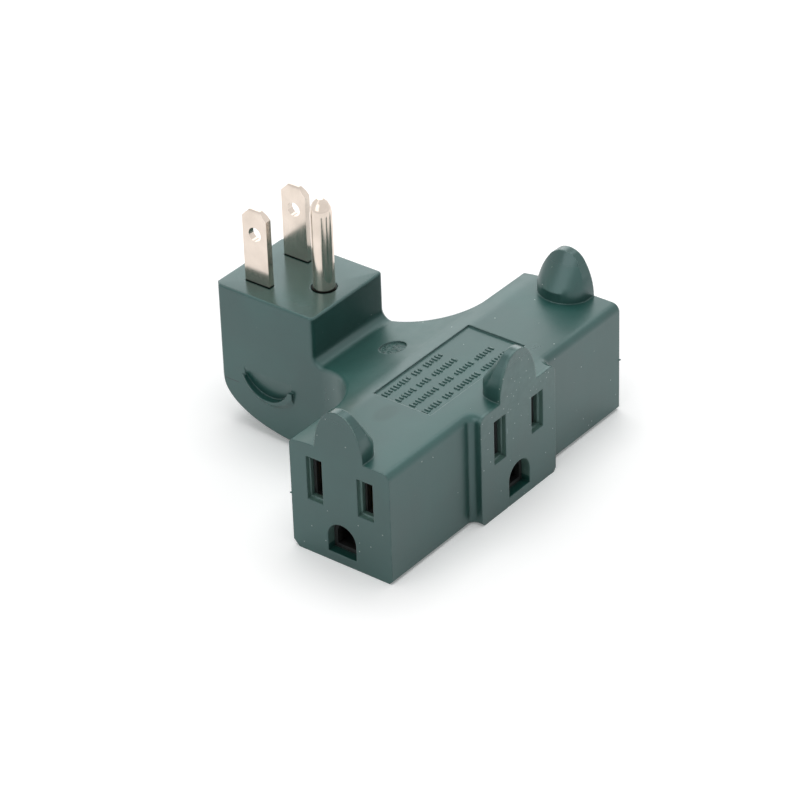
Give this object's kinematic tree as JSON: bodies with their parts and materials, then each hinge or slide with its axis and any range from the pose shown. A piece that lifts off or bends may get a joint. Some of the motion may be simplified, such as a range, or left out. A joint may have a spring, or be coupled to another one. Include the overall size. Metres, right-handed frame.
{
  "type": "three-outlet wall tap",
  "caption": "T-shaped moulded wall tap: a plug with two flat blades and a round ground pin, and a grounded outlet on each arm and on the front.",
  "frame": {"origin": "under the middle of the tap's bounding box, on the surface it lies on", "axes": "+X along the bar that carries the side outlets, +Z along the prongs away from the plug face, -Y from the plug block towards the front outlet"},
  "size_m": [0.0784, 0.0694, 0.0544],
  "materials": {
    "green_vinyl": "satin dark green moulded vinyl",
    "black_plastic": "matte black moulding",
    "bridge_plastic": "matte black moulding",
    "nickel_plate": "nickel plate, slightly worn",
    "spring_brass": "plain stamped brass",
    "rivet_brass": "plain brass"
  },
  "bodies": {
    "root": {"moulded_body": "green_vinyl", "prong_bridge": "bridge_plastic", "line_blade": "nickel_plate", "neutral_blade": "nickel_plate", "ground_pin": "nickel_plate", "line_rivet": "rivet_brass", "neutral_rivet": "rivet_brass", "line_strip": "spring_brass", "neutral_strip": "spring_brass", "ground_strip": "spring_brass", "left_insert": "black_plastic", "left_cover": "black_plastic", "left_line_clip": "spring_brass", "left_neutral_clip": "spring_brass", "left_ground_clip": "spring_brass", "front_insert": "black_plastic", "front_cover": "black_plastic", "front_line_clip": "spring_brass", "front_neutral_clip": "spring_brass", "front_ground_clip": "spring_brass", "right_insert": "black_plastic", "right_cover": "black_plastic", "right_line_clip": "spring_brass", "right_neutral_clip": "spring_brass", "right_ground_clip": "spring_brass"}
  },
  "joints": []
}
